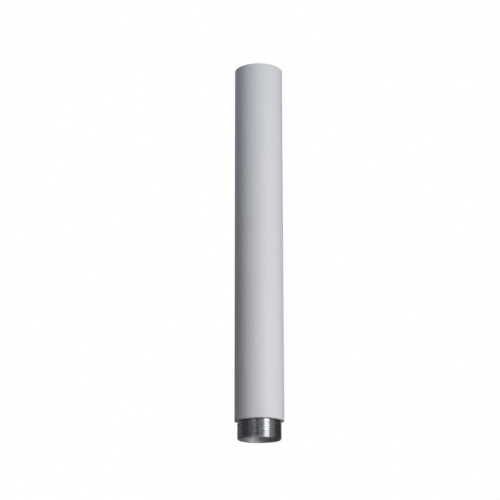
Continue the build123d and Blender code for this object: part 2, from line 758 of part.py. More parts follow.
plug_bevel = 0.9
plug_skirt_wall = 2.8
plug_lead = 1.0
plug_groove_z = 410.0
plug_hub_length = 12.0
plug_rib_depth = 8.0
plug_rib_width = 2.0
plug_rib_inner = hub_r - HUB_WALL / 2
plug_rib_outer = SPIGOT_R - plug_skirt_wall / 2

with BuildPart() as top_plug:
    with BuildSketch(Plane.XZ):
        outline(
            (0, DAMPER_TOP_Z),
            (0, PLUG_TOP_Z),
            (SPIGOT_R - plug_bevel, PLUG_TOP_Z),
            (SPIGOT_R, PLUG_TOP_Z - plug_bevel),
            (SPIGOT_R, PLUG_SKIRT_Z + plug_lead),
            (SPIGOT_R - plug_lead, PLUG_SKIRT_Z),
            (SPIGOT_R - plug_skirt_wall, PLUG_SKIRT_Z),
            (SPIGOT_R - plug_skirt_wall, PLUG_DISC_Z),
            (hub_r, PLUG_DISC_Z),
            (hub_r, DAMPER_TOP_Z - plug_hub_length),
            (STRUT_R + FIT_GAP, DAMPER_TOP_Z - plug_hub_length),
            (STRUT_R + FIT_GAP, DAMPER_TOP_Z),
        )
    revolve(axis=Axis.Z)
    with BuildSketch(Plane.XZ):
        groove_z = plug_groove_z - O_RING_GROOVE_WIDTH / 2
        ring(SPIGOT_R - O_RING_GROOVE_DEPTH, SPIGOT_R + CUT_PAST, groove_z, groove_z + O_RING_GROOVE_WIDTH)
    revolve(axis=Axis.Z, mode=Mode.SUBTRACT)
    with BuildSketch(Plane.XY.offset(PLUG_DISC_Z)):
        with PolarLocations((plug_rib_inner + plug_rib_outer) / 2, SPOKE_COUNT):
            Rectangle(plug_rib_outer - plug_rib_inner, plug_rib_width)
    extrude(amount=-plug_rib_depth)
save(top_plug.part, "top_plug")

make_o_ring("top_plug_o_ring", SPIGOT_R - O_RING_R, O_RING_R, plug_groove_z)

bead_outer_r = RADOME_BORE_R - 0.01
bead_rise = 0.15
with BuildPart() as top_seal_bead:
    with BuildSketch(Plane.XZ):
        outline(
            (bead_outer_r, PLUG_TOP_Z - plug_bevel + FIT_GAP),
            (bead_outer_r, PLUG_TOP_Z + bead_rise),
            (SPIGOT_R - plug_bevel + FIT_GAP, PLUG_TOP_Z + FIT_GAP),
        )
    revolve(axis=Axis.Z)
save(top_seal_bead.part, "top_seal_bead")
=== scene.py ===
import json
import math
import random

import bmesh
import bpy
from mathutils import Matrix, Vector


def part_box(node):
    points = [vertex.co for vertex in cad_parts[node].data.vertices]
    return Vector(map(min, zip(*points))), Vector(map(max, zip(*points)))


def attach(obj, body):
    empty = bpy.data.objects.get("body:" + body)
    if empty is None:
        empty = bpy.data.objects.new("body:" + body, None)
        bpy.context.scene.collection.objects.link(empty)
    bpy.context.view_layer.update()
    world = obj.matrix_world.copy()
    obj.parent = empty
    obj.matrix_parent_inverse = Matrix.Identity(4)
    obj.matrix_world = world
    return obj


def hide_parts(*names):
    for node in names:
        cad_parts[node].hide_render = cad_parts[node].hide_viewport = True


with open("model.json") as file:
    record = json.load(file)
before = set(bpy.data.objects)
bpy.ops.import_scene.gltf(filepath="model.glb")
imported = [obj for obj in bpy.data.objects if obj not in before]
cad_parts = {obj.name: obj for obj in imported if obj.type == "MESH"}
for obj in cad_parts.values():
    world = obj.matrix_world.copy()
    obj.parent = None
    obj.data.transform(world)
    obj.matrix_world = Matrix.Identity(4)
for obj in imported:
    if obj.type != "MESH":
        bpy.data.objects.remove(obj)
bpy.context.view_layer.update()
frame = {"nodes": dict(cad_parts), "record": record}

# An upright antenna: a painted radome tube on a polished, pipe-threaded base. Everything is in metres, in
# the row's frame: the origin is the centre of the base's lower face, and +Z runs up the thread's axis.

MM = 0.001
TURN = 2 * math.pi

# --------------------------------------------------------------------------------------------------
# Sizes, read from the frame where the CAD model has them
# --------------------------------------------------------------------------------------------------

MOUNTS = {mount["name"]: mount for mount in frame["record"]["mounts"]}
TUBE_LOW, TUBE_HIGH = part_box("radome_tube")
BASE_TOP_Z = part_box("threaded_base")[1].z
PLATE_LOW, PLATE_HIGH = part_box("connector_plate")
PLUG_LOW, PLUG_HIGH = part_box("top_plug")
BEAD_LOW, BEAD_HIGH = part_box("top_seal_bead")
DAMPER_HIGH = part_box("damper_ring")[1]

TUBE_WALL = 3 * MM
TUBE_R = TUBE_HIGH.x
TUBE_BORE_R = TUBE_R - TUBE_WALL
SHOULDER_Z = TUBE_LOW.z
TOP_Z = TUBE_HIGH.z
SLIP_GAP = 0.05 * MM

MM_PER_INCH = 25.4
THREADS_PER_INCH = 11.5
THREAD_R = MOUNTS["mast_thread"]["dims"]["r_mm"] * MM
THREAD_PITCH = MM_PER_INCH / THREADS_PER_INCH * MM
THREAD_DEPTH = 1.35 * MM
THREAD_START_Z = -1.5 * MM

RELIEF_LENGTH = 3 * MM
RELIEF_DEPTH = 1.43 * MM
RELIEF_Z = SHOULDER_Z - RELIEF_LENGTH
RELIEF_R = THREAD_R - RELIEF_DEPTH
END_CHAMFER = 1.2 * MM
BORE_R = 21 * MM
LIP_THICKNESS = 3 * MM
LIP_R = 18.5 * MM
LIP_Z = PLATE_LOW.z - LIP_THICKNESS
POCKET_R = PLATE_HIGH.x + SLIP_GAP
SPIGOT_R = TUBE_BORE_R - SLIP_GAP
O_RING_GROOVE_WIDTH = 2.4 * MM
O_RING_GROOVE_DEPTH = 1.6 * MM
SOCKET_R = MOUNTS["rf_port"]["dims"]["r_mm"] * MM

CAP_HUB_R = DAMPER_HIGH.x + 2 * MM
CAP_SKIRT_R = SPIGOT_R - 2.8 * MM
CAP_DISC_Z = PLUG_HIGH.z - 4.7 * MM


# --------------------------------------------------------------------------------------------------
# Meshes
# --------------------------------------------------------------------------------------------------


def mesh_object(name, bm, smooth_angle=32):
    """Object from a bmesh, with smooth shading across edges flatter than smooth_angle degrees."""
    bmesh.ops.recalc_face_normals(bm, faces=bm.faces)
    data = bpy.data.meshes.new(name)
    bm.to_mesh(data)
    bm.free()
    data.shade_smooth()
    data.set_sharp_from_angle(angle=math.radians(smooth_angle))
    piece = bpy.data.objects.new(name, data)
    bpy.context.scene.collection.objects.link(piece)
    return piece


def skin(bm, columns):
    """Quads between neighbouring closed columns of points. The last column lies on the first one."""
    rows = [[bm.verts.new(point) for point in column] for column in columns]
    count = len(rows[0])
    for near, far in zip(rows, rows[1:]):
        for j in range(count):
            k = (j + 1) % count
            bm.faces.new((near[j], far[j], far[k], near[k]))


def weld(bm):
    """Joins points that lie on each other and removes what that leaves flat."""
    distance = 0.002 * MM
    bmesh.ops.remove_doubles(bm, verts=bm.verts, dist=distance)
    bmesh.ops.dissolve_degenerate(bm, dist=distance / 4, edges=bm.edges)


def around(radius, z, angle):
    """Point at radius from the Z axis."""
    return (radius * math.cos(angle), radius * math.sin(angle), z)


def rounded(corners, steps=4):
    """Closed (r, z) outline from (r, z, edge) corners. A corner whose edge isn't 0 is cut by a curve."""
    points = [Vector(corner[:2]) for corner in corners]
    outline = []
    for i, (p, corner) in enumerate(zip(points, corners)):
        edge = corner[2] if len(corner) > 2 else 0
        if edge == 0:
            outline.append(tuple(p))
            continue
        before = points[i - 1] - p
        after = points[(i + 1) % len(points)] - p
        reach = edge / math.tan(before.angle(after) / 2)
        reach = min(reach, before.length * 0.49, after.length * 0.49)
        start = p + before.normalized() * reach
        end = p + after.normalized() * reach
        for k in range(steps + 1):
            t = k / steps
            outline.append(tuple(start * (1 - t) ** 2 + p * 2 * t * (1 - t) + end * t**2))
    return outline


def groove(radius, depth, middle, width, edge, way=1):
    """Corners of a square groove in a wall at radius. depth is cut inwards, and way 1 runs up the wall."""
    near = middle - way * width / 2
    far = middle + way * width / 2
    return [
        (radius, near, edge),
        (radius - depth, near, edge),
        (radius - depth, far, edge),
        (radius, far, edge),
    ]


def lathe(name, outline, segments=256, waver=None):
    """Solid of revolution about Z from a closed (r, z) outline. waver(r, z, angle) may shift its points."""
    bm = bmesh.new()
    columns = []
    for i in range(segments + 1):
        angle = TURN * (i % segments) / segments
        points = [waver(r, z, angle) if waver else (r, z) for r, z in outline]
        columns.append([around(r, z, angle) for r, z in points])
    skin(bm, columns)
    weld(bm)
    return mesh_object(name, bm)


def block(name, size, at, angle, edge):
    """Box with rounded edges, turned by angle about Z and moved to at."""
    bm = bmesh.new()
    bmesh.ops.create_cube(bm, size=1)
    bmesh.ops.scale(bm, vec=size, verts=bm.verts)
    bmesh.ops.bevel(bm, geom=bm.edges, offset=edge, segments=3, profile=0.5, affect="EDGES")
    for vertex in bm.verts:
        x, y, z = vertex.co
        turned_x = x * math.cos(angle) - y * math.sin(angle)
        turned_y = x * math.sin(angle) + y * math.cos(angle)
        vertex.co = Vector((turned_x, turned_y, z)) + Vector(at)
    return mesh_object(name, bm)


def ripple(seed, waves, size):
    """Smooth random function of an angle, about size high, which closes on itself after a turn."""
    dice = random.Random(seed)
    terms = [(k, dice.uniform(0, TURN), dice.uniform(0.4, 1) / k**0.5) for k in waves]
    scale = size / sum(weight for _, _, weight in terms)
    return lambda angle: scale * sum(w * math.sin(k * angle + phase) for k, phase, w in terms)


# --------------------------------------------------------------------------------------------------
# Pieces
# --------------------------------------------------------------------------------------------------


def radome_shell():
    """Painted tube. The paint rounds its edges and stands slightly proud near both ends."""
    proud = 0.05 * MM
    thin_r = TUBE_R - proud
    full_length = 2.2 * MM
    end_length = 4.5 * MM
    rings = 40
    run = TOP_Z - SHOULDER_Z - 2 * end_length
    wall = [(thin_r, SHOULDER_Z + end_length + run * k / rings) for k in range(rings + 1)]
    inner_edge = 0.15 * MM
    lower_edge = 0.9 * MM
    upper_edge = 0.7 * MM
    corners = [
        (TUBE_BORE_R, SHOULDER_Z, inner_edge),
        (TUBE_R, SHOULDER_Z, lower_edge),
        (TUBE_R, SHOULDER_Z + full_length),
        *wall,
        (TUBE_R, TOP_Z - full_length),
        (TUBE_R, TOP_Z, upper_edge),
        (TUBE_BORE_R, TOP_Z, inner_edge),
    ]
    return lathe("radome_shell", rounded(corners, steps=6))


def bond_line():
    """Thin fillet of adhesive, squeezed out between the radome's lower edge and the base's shoulder."""
    middle_r = TUBE_BORE_R
    top_half = 0.3 * MM
    foot_half = top_half * 0.6
    drop = 0.16 * MM
    edge = 0.06 * MM
    corners = [
        (middle_r - top_half, SHOULDER_Z),
        (middle_r - foot_half, SHOULDER_Z - drop, edge),
        (middle_r + foot_half, SHOULDER_Z - drop, edge),
        (middle_r + top_half, SHOULDER_Z),
    ]
    swell = ripple(seed=5, waves=range(3, 19), size=0.35)

    def waver(r, z, angle):
        grow = 1 + swell(angle)
        return middle_r + (r - middle_r) * grow, SHOULDER_Z - (SHOULDER_Z - z) * grow

    return lathe("bond_line", rounded(corners), waver=waver)


def thread_radius(turn):
    """Radius of the mast thread at a fraction of a pitch above a groove's middle."""
    flank_angle = math.radians(30)
    root_half = THREAD_PITCH / 16
    soft = 0.05 * MM
    away = abs((turn + 0.5) % 1 - 0.5) * THREAD_PITCH
    rise = (away - root_half) / math.tan(flank_angle)
    depth = THREAD_DEPTH - max(0.0, rise)
    if depth <= 0:
        return THREAD_R
    if depth < soft * 2:
        return THREAD_R - depth**2 / (soft * 4)
    return THREAD_R - min(depth, THREAD_DEPTH - soft) + soft


def base_shell():
    """Turned base in one closed skin: helical thread, end chamfer, relief, open bore, lip and spigot."""
    segments = 288
    rows_per_pitch = 16
    rows = math.ceil((RELIEF_Z - THREAD_START_Z) / THREAD_PITCH + 1) * rows_per_pitch
    # How far corners are rounded.
    fine = 0.1 * MM
    edge = 0.2 * MM
    soft = 0.4 * MM

    lead = 1 * MM
    mouth_chamfer = 0.8 * MM
    ring_depth = 0.9 * MM
    ring_width = 1.4 * MM
    o_ring_groove = (O_RING_GROOVE_DEPTH, O_RING_GROOVE_WIDTH)
    glue_groove = (0.4 * MM, 1.2 * MM)
    # Grooves in the spigot, by the height of their middles above the shoulder in mm.
    spigot_grooves = {
        20: o_ring_groove,
        24.5: glue_groove,
        27: glue_groove,
        29.5: glue_groove,
        34: o_ring_groove,
    }
    spigot = []
    for height, (depth, width) in spigot_grooves.items():
        spigot += groove(SPIGOT_R, depth, SHOULDER_Z + height * MM, width, fine)
    above = rounded(
        [
            (RELIEF_R, RELIEF_Z, soft),
            (RELIEF_R, SHOULDER_Z, soft),
            (SPIGOT_R, SHOULDER_Z),
            *spigot,
            (SPIGOT_R, BASE_TOP_Z - lead, edge),
            (SPIGOT_R - lead, BASE_TOP_Z, edge),
            (POCKET_R, BASE_TOP_Z, edge),
            *groove(POCKET_R, -ring_depth, PLATE_HIGH.z + ring_width / 2, ring_width, fine, way=-1),
            (POCKET_R, PLATE_LOW.z, fine),
            (LIP_R, PLATE_LOW.z, edge),
            (LIP_R, LIP_Z, 0.3 * MM),
            (BORE_R, LIP_Z, soft),
            (BORE_R, mouth_chamfer, 0.3 * MM),
            (BORE_R + mouth_chamfer, 0, 0.15 * MM),
            (THREAD_R - END_CHAMFER, 0),
        ]
    )
    columns = []
    for i in range(segments + 1):
        angle = TURN * i / segments
        column = []
        for j in range(rows + 1):
            z = THREAD_START_Z + THREAD_PITCH * (j / rows_per_pitch - 1 + i / segments)
            z = min(max(z, 0.0), RELIEF_Z)
            turn = (z - THREAD_START_Z) / THREAD_PITCH - i / segments
            chamfer_r = THREAD_R - END_CHAMFER + z
            column.append(around(min(thread_radius(turn), chamfer_r), z, angle))
        column += [around(r, z, angle) for r, z in above]
        columns.append(column)
    bm = bmesh.new()
    skin(bm, columns)
    weld(bm)
    return mesh_object("base_shell", bm, smooth_angle=40)


def radome_cap():
    """Moulded plug that closes the tube: shallow dish with a gate mark, skirt, and socket for the strut."""
    # How far corners are rounded.
    fine = 0.1 * MM
    edge = 0.2 * MM
    soft = 0.3 * MM
    fillet = 0.6 * MM

    lead = 1 * MM
    bead_chamfer = 0.9 * MM
    rim_width = 4 * MM
    dish_depth = 0.5 * MM
    gate_depth = 0.4 * MM
    nub_height = 0.25 * MM
    nub_crown = 0.3 * MM
    rim_r = SPIGOT_R - bead_chamfer
    dish_r = rim_r - rim_width
    dish_z = PLUG_HIGH.z - dish_depth
    gate_r = 2.6 * MM
    gate_z = dish_z - gate_depth
    nub_r = 0.9 * MM
    skirt_z = PLUG_LOW.z + 2 * MM
    o_ring_z = skirt_z + 5 * MM
    strut_r = DAMPER_HIGH.x + SLIP_GAP
    corners = [
        (0, DAMPER_HIGH.z),
        (strut_r, DAMPER_HIGH.z),
        (strut_r, PLUG_LOW.z, edge),
        (CAP_HUB_R, PLUG_LOW.z, 0.4 * MM),
        (CAP_HUB_R, CAP_DISC_Z, fillet),
        (CAP_SKIRT_R, CAP_DISC_Z, fillet),
        (CAP_SKIRT_R, skirt_z, soft),
        (SPIGOT_R - lead, skirt_z, edge),
        (SPIGOT_R, skirt_z + lead, edge),
        *groove(SPIGOT_R, O_RING_GROOVE_DEPTH, o_ring_z, O_RING_GROOVE_WIDTH, fine),
        (SPIGOT_R, PLUG_HIGH.z - bead_chamfer, fine),
        (rim_r, PLUG_HIGH.z, edge),
        (dish_r + dish_depth, PLUG_HIGH.z, soft),
        (dish_r, dish_z, soft),
        (gate_r + gate_depth, dish_z, edge),
        (gate_r, gate_z, edge),
        (nub_r, gate_z),
        (nub_r, gate_z + nub_height, 0.08 * MM),
        (0, gate_z + nub_crown),
    ]
    return lathe("radome_cap", rounded(corners), segments=192)


def cap_ribs():
    """Ribs under the cap's disc, from its hub to its skirt."""
    count = 6
    size = (CAP_SKIRT_R - CAP_HUB_R, 2 * MM, 8 * MM)
    edge = 0.25 * MM
    middle_r = (CAP_HUB_R + CAP_SKIRT_R) / 2
    middle_z = CAP_DISC_Z - size[2] / 2
    ribs = []
    for number in range(count):
        angle = TURN * number / count
        ribs.append(block(f"cap_rib_{number + 1}", size, around(middle_r, middle_z, angle), angle, edge))
    return ribs


def sealant_bead():
    """Bead of sealant run by hand into the groove between cap and tube, with a join where it ends."""
    outer_r = TUBE_BORE_R - 0.01 * MM
    crown_r = outer_r - 0.45 * MM
    inner_r = SPIGOT_R - 0.85 * MM
    low_z = BEAD_LOW.z
    high_z = BEAD_HIGH.z - 0.06 * MM
    corners = [
        (outer_r, low_z),
        (outer_r, high_z, 0.05 * MM),
        (crown_r, high_z - 0.02 * MM, 0.15 * MM),
        (inner_r, PLUG_HIGH.z + 0.03 * MM, 0.02 * MM),
    ]
    lift = ripple(seed=11, waves=range(4, 31), size=0.05 * MM)
    join_height = 0.05 * MM
    join_angle = 2.1
    join_spread = 0.05

    def waver(r, z, angle):
        join = join_height * math.exp(-(((angle - join_angle) / join_spread) ** 2))
        share = (z - low_z) / (high_z - low_z)
        return r, min(z + share * (lift(angle) + join), BEAD_HIGH.z)

    return lathe("sealant_bead", rounded(corners), waver=waver)


# --------------------------------------------------------------------------------------------------
# Finishes
# --------------------------------------------------------------------------------------------------

# Numbers of the sockets of a Mix node, whose names repeat.
MIX_FLOAT_A, MIX_FLOAT_B, MIX_FLOAT_OUT = 2, 3, 0
MIX_COLOUR_A, MIX_COLOUR_B, MIX_COLOUR_OUT = 6, 7, 2


class Finish:
    """Node material in the making: its shader, and short calls for the nodes that the finishes share."""

    def __init__(self, name, colour, roughness, metallic=0.0):
        self.material = bpy.data.materials.new(name)
        self.material.use_nodes = True
        self.tree = self.material.node_tree
        self.shader = self.tree.nodes["Principled BSDF"]
        self.shader.inputs["Base Color"].default_value = (*colour, 1)
        self.shader.inputs["Roughness"].default_value = roughness
        self.shader.inputs["Metallic"].default_value = metallic
        self.colour = (*colour, 1)
        self.roughness = roughness
        self.normal = None
        self.place = self.node("ShaderNodeTexCoord").outputs["Object"]
        self.x, self.y, self.z = self.node("ShaderNodeSeparateXYZ", Vector=self.place).outputs

    def node(self, kind, settings=None, **inputs):
        """New node with its settings. Each input takes a value or an output to link."""
        node = self.tree.nodes.new(kind)
        for key, value in (settings or {}).items():
            setattr(node, key, value)
        for key, value in inputs.items():
            self.put(node.inputs[key], value)
        return node

    def put(self, socket, value):
        """Links value to the socket if it is an output, and sets it there if it isn't."""
        if isinstance(value, bpy.types.NodeSocket):
            self.tree.links.new(value, socket)
        else:
            socket.default_value = value

    def math(self, operation, first, second=0.0):
        """Output of a Math node."""
        node = self.node("ShaderNodeMath", {"operation": operation})
        self.put(node.inputs[0], first)
        self.put(node.inputs[1], second)
        return node.outputs[0]

    def radius(self):
        """Distance from the Z axis."""
        square = self.math("ADD", self.math("POWER", self.x, 2), self.math("POWER", self.y, 2))
        return self.math("SQRT", square)

    def band(self, value, low, high, to_low=0.0, to_high=1.0):
        """value rescaled so that low to high becomes to_low to to_high, and held there outside."""
        node = self.node("ShaderNodeMapRange", {"clamp": True, "interpolation_type": "SMOOTHSTEP"})
        levels = {"Value": value, "From Min": low, "From Max": high, "To Min": to_low, "To Max": to_high}
        for key, level in levels.items():
            self.put(node.inputs[key], level)
        return node.outputs["Result"]

    def noise(self, size, stretch=(1, 1, 1), detail=2.0, place=None):
        """Noise whose grains are about size metres across, times stretch along each axis."""
        scale = tuple(1 / (size * part) for part in stretch)
        vector = self.node("ShaderNodeMapping", Vector=place or self.place, Scale=scale).outputs[0]
        return self.node("ShaderNodeTexNoise", Vector=vector, Scale=1.0, Detail=detail).outputs["Fac"]

    def tool_marks(self, size):
        """Noise that depends on radius and height only, as a turning tool leaves it."""
        spiral = self.node("ShaderNodeCombineXYZ", X=self.radius(), Z=self.z).outputs[0]
        return self.noise(size, place=spiral)

    def tint(self, mask, colour):
        """Mixes the colour so far towards colour, by mask."""
        node = self.node("ShaderNodeMix", {"data_type": "RGBA"})
        self.put(node.inputs["Factor"], mask)
        self.put(node.inputs[MIX_COLOUR_A], self.colour)
        self.put(node.inputs[MIX_COLOUR_B], (*colour, 1))
        self.colour = node.outputs[MIX_COLOUR_OUT]

    def stain(self, noise, low, high, share, colour):
        """Mixes colour in where noise is above low, and by share where it is above high."""
        self.tint(self.band(noise, low, high, 0, share), colour)

    def gloss(self, mask, change):
        """Adds change to the roughness where mask is 1, and takes it off where mask is 0."""
        swing = self.band(mask, 0.25, 0.75, -change, change)
        self.roughness = self.math("ADD", swing, self.roughness)

    def roughen(self, mask, roughness):
        """Moves the roughness so far to roughness where mask is 1."""
        node = self.node("ShaderNodeMix", {"data_type": "FLOAT"})
        self.put(node.inputs["Factor"], mask)
        self.put(node.inputs[MIX_FLOAT_A], self.roughness)
        self.put(node.inputs[MIX_FLOAT_B], roughness)
        self.roughness = node.outputs[MIX_FLOAT_OUT]

    def dent(self, height, depth):
        """Bump of depth metres, laid over the bumps so far."""
        node = self.node("ShaderNodeBump", Height=height, Distance=depth)
        if self.normal:
            self.put(node.inputs["Normal"], self.normal)
        self.normal = node.outputs[0]

    def brushed_round(self, amount):
        """Spreads gloss along Z and keeps it narrow around Z, as rings left by a tool do."""
        tangent = self.node("ShaderNodeTangent", {"direction_type": "RADIAL", "axis": "Z"}).outputs[0]
        self.put(self.shader.inputs["Tangent"], tangent)
        self.shader.inputs["Anisotropic"].default_value = amount
        self.shader.inputs["Anisotropic Rotation"].default_value = 0.25

    def done(self):
        """Joins what was built to the shader and returns the material."""
        self.put(self.shader.inputs["Base Color"], self.colour)
        self.put(self.shader.inputs["Roughness"], self.roughness)
        if self.normal:
            self.put(self.shader.inputs["Normal"], self.normal)
        return self.material


def paint():
    """Nearly matt light grey paint on glass fibre: faintly mottled, with orange peel, handling marks and
    painted shade along its lower edge.
    """
    finish = Finish("paint", (0.655, 0.66, 0.685), 0.6)
    finish.shader.inputs["Specular IOR Level"].default_value = 0.35
    cloud = finish.noise(70 * MM, detail=3)
    finish.stain(cloud, 0.35, 0.7, 0.5, (0.625, 0.635, 0.665))
    streak = finish.noise(9 * MM, stretch=(1, 1, 16), detail=3)
    finish.stain(streak, 0.55, 0.8, 0.35, (0.68, 0.685, 0.705))
    speck = finish.noise(0.9 * MM, detail=1)
    finish.stain(speck, 0.74, 0.8, 0.3, (0.45, 0.45, 0.46))
    handled = finish.band(finish.z, SHOULDER_Z + 26 * MM, SHOULDER_Z)
    scuffs = finish.band(finish.noise(2.5 * MM, stretch=(3, 3, 1), detail=4), 0.5, 0.72)
    grime = finish.math("MULTIPLY", handled, scuffs)
    finish.tint(finish.math("MULTIPLY", grime, 0.22), (0.36, 0.35, 0.35))
    # Painted shade: the paint is darkened within a millimetre of the tube's lower edge.
    painted_edge_shade = finish.band(finish.z, SHOULDER_Z + 1.0 * MM, SHOULDER_Z + 0.1 * MM)
    finish.tint(finish.math("MULTIPLY", painted_edge_shade, 0.45), (0.33, 0.33, 0.34))
    finish.gloss(finish.noise(14 * MM, detail=4), 0.05)
    finish.roughen(finish.math("MULTIPLY", grime, 0.5), 0.7)
    finish.dent(finish.noise(1.3 * MM, detail=1), 0.012 * MM)
    finish.dent(finish.noise(0.22 * MM, detail=2), 0.002 * MM)
    return finish.done()


def thread_root_shade(finish, root_r, crest_r, dark):
    """Paints shade into a thread's roots, between two radii, in patches. Returns the mask, 1 in the roots.
    """
    depth = finish.band(finish.radius(), crest_r, root_r)
    patchy = finish.band(finish.noise(3 * MM, detail=3), 0.3, 0.7, 0.6, 1)
    mask = finish.math("MULTIPLY", depth, patchy)
    finish.tint(finish.math("MULTIPLY", mask, 0.85), dark)
    return mask


def turned_steel():
    """Polished turned steel, with its gloss spread by the tool's rings, painted shade in its thread roots,
    and duller roots.
    """
    finish = Finish("turned_steel", (0.625, 0.635, 0.67), 0.39, metallic=1)
    finish.brushed_round(0.92)
    finish.stain(finish.noise(7 * MM, detail=3), 0.4, 0.75, 0.5, (0.58, 0.575, 0.58))
    below = finish.band(finish.z, SHOULDER_Z, SHOULDER_Z - 0.2 * MM)
    # Painted shade, darker and patchy, in the mast thread's roots.
    roots = thread_root_shade(finish, THREAD_R - THREAD_DEPTH, THREAD_R - 0.35 * MM, (0.26, 0.255, 0.255))
    roots = finish.math("MULTIPLY", roots, below)
    finish.gloss(finish.tool_marks(0.35 * MM), 0.03)
    finish.roughen(finish.math("MULTIPLY", roots, 0.6), 0.42)
    finish.dent(finish.tool_marks(0.12 * MM), 0.004 * MM)
    finish.dent(finish.band(finish.noise(0.8 * MM, detail=3), 0.62, 0.8), 0.003 * MM)
    return finish.done()


def bored_steel():
    """Satin inside of the base, left as bored: coarser rings, a duller surface and a few dark stains."""
    finish = Finish("bored_steel", (0.53, 0.54, 0.58), 0.57, metallic=1)
    finish.stain(finish.noise(5 * MM, detail=4), 0.45, 0.75, 0.5, (0.52, 0.52, 0.53))
    finish.gloss(finish.tool_marks(0.5 * MM), 0.05)
    finish.dent(finish.tool_marks(0.25 * MM), 0.008 * MM)
    return finish.done()


def turned_metal(name, colour, stain, roughness):
    """Turned or spun metal, with rings left by the tool and a faint stain."""
    ring_size = 0.2 * MM
    finish = Finish(name, colour, roughness, metallic=1)
    finish.stain(finish.noise(8 * MM, detail=4), 0.45, 0.75, 0.6, stain)
    finish.gloss(finish.tool_marks(ring_size * 3), 0.05)
    finish.dent(finish.tool_marks(ring_size), 0.006 * MM)
    return finish.done()


def nickel():
    """Bright nickel plate on a turned body, with painted shade in its thread roots and a faint bloom."""
    finish = Finish("nickel", (0.66, 0.63, 0.58), 0.2, metallic=1)
    finish.stain(finish.noise(2.5 * MM, detail=4), 0.5, 0.8, 0.5, (0.55, 0.51, 0.45))
    # Painted shade in the socket thread's roots.
    thread_root_shade(finish, SOCKET_R - 0.6 * MM, SOCKET_R - 0.1 * MM, (0.34, 0.31, 0.27))
    finish.gloss(finish.noise(1.2 * MM, detail=3), 0.06)
    finish.dent(finish.tool_marks(0.15 * MM), 0.003 * MM)
    return finish.done()


def drawn_metal(name, colour, stain, roughness):
    """Drawn or rolled metal, with fine lines along Z and stains."""
    finish = Finish(name, colour, roughness, metallic=1)
    finish.stain(finish.noise(3 * MM, detail=4), 0.42, 0.75, 0.7, stain)
    lines = finish.noise(0.15 * MM, stretch=(1, 1, 40))
    finish.gloss(lines, 0.06)
    finish.dent(lines, 0.004 * MM)
    return finish.done()


def moulding(name, colour, mottle, roughness):
    """Moulded plastic: spark-eroded grain, slight flow marks and a rubbed sheen."""
    finish = Finish(name, colour, roughness)
    finish.stain(finish.noise(12 * MM, detail=3), 0.35, 0.75, 0.6, mottle)
    finish.gloss(finish.noise(5 * MM, detail=4), 0.06)
    finish.dent(finish.noise(0.35 * MM, detail=3), 0.012 * MM)
    return finish.done()


def turned_plastic(name, colour, shade):
    """White plastic turned from rod, with feed marks and a waxy sheen."""
    finish = Finish(name, colour, 0.38)
    finish.stain(finish.noise(4 * MM, detail=3), 0.4, 0.75, 0.6, shade)
    finish.gloss(finish.tool_marks(0.5 * MM), 0.05)
    finish.dent(finish.tool_marks(0.18 * MM), 0.008 * MM)
    return finish.done()


def pultruded_fibre():
    """Unpainted glass-fibre tube: straw-coloured resin with strands along Z."""
    finish = Finish("glass_fibre", (0.56, 0.52, 0.33), 0.4)
    strands = finish.noise(0.5 * MM, stretch=(1, 1, 60), detail=4)
    finish.stain(strands, 0.35, 0.7, 0.8, (0.7, 0.67, 0.5))
    finish.stain(finish.noise(10 * MM, detail=3), 0.5, 0.8, 0.5, (0.45, 0.4, 0.22))
    finish.gloss(strands, 0.08)
    finish.dent(strands, 0.02 * MM)
    return finish.done()


def sintered_ferrite():
    """Ferrite: dark grey, grainy, with chipped specks."""
    finish = Finish("ferrite", (0.045, 0.045, 0.05), 0.62)
    grain = finish.noise(0.25 * MM, detail=4)
    finish.stain(grain, 0.45, 0.7, 0.8, (0.09, 0.09, 0.095))
    finish.gloss(grain, 0.1)
    finish.dent(grain, 0.03 * MM)
    return finish.done()


def shrunk_sleeve():
    """Black heat-shrink sleeve, with folds around the beads' ends and a dull sheen."""
    finish = Finish("heat_shrink", (0.02, 0.02, 0.022), 0.48)
    folds = finish.noise(1.6 * MM, stretch=(1, 1, 3), detail=3)
    finish.stain(folds, 0.5, 0.8, 0.7, (0.045, 0.045, 0.048))
    finish.gloss(folds, 0.08)
    finish.dent(folds, 0.08 * MM)
    return finish.done()


def rubber():
    """Black moulded rubber, with a bloom and fine pits."""
    finish = Finish("rubber", (0.018, 0.018, 0.018), 0.62)
    bloom = finish.noise(1.8 * MM, detail=4)
    finish.stain(bloom, 0.5, 0.8, 0.8, (0.05, 0.05, 0.052))
    finish.gloss(bloom, 0.08)
    finish.dent(finish.noise(0.2 * MM, detail=2), 0.01 * MM)
    return finish.done()


def cured_sealant():
    """Light grey sealant: smooth, slightly glossy, with dust caught in it."""
    finish = Finish("sealant", (0.5, 0.51, 0.53), 0.36)
    dust = finish.noise(0.7 * MM, detail=4)
    finish.stain(dust, 0.55, 0.75, 0.7, (0.3, 0.3, 0.3))
    finish.gloss(dust, 0.12)
    finish.dent(finish.noise(1.5 * MM, detail=2), 0.04 * MM)
    return finish.done()


# --------------------------------------------------------------------------------------------------
# Stage: camera, floor, lights and backdrop
# --------------------------------------------------------------------------------------------------

# The lens, in mm, the camera's place and its angles were found by laying the render's outline over
# the photo's.
LENS = 107.4
SENSOR = 36
CAMERA_DISTANCE = 1.5974
CAMERA_DROP = 0.2612
CAMERA_PITCH = math.radians(15.845)
CAMERA_YAW = math.radians(0.373)
CAMERA_ROLL = math.radians(0.061)
FLOOR_Z = -1.5
FLOOR_REACH = 25

WARM_WHITE = (1, 0.99, 0.985)
BLUISH_WHITE = (0.92, 0.98, 1)


def build_camera():
    data = bpy.data.cameras.new("camera")
    data.sensor_width = SENSOR
    data.lens = LENS
    data.clip_end = 100
    camera = bpy.data.objects.new("camera", data)
    bpy.context.scene.collection.objects.link(camera)
    camera.location = (0, -CAMERA_DISTANCE, SHOULDER_Z - CAMERA_DROP)
    camera.rotation_euler = (math.pi / 2 + CAMERA_PITCH, CAMERA_ROLL, CAMERA_YAW)
    bpy.context.scene.camera = camera


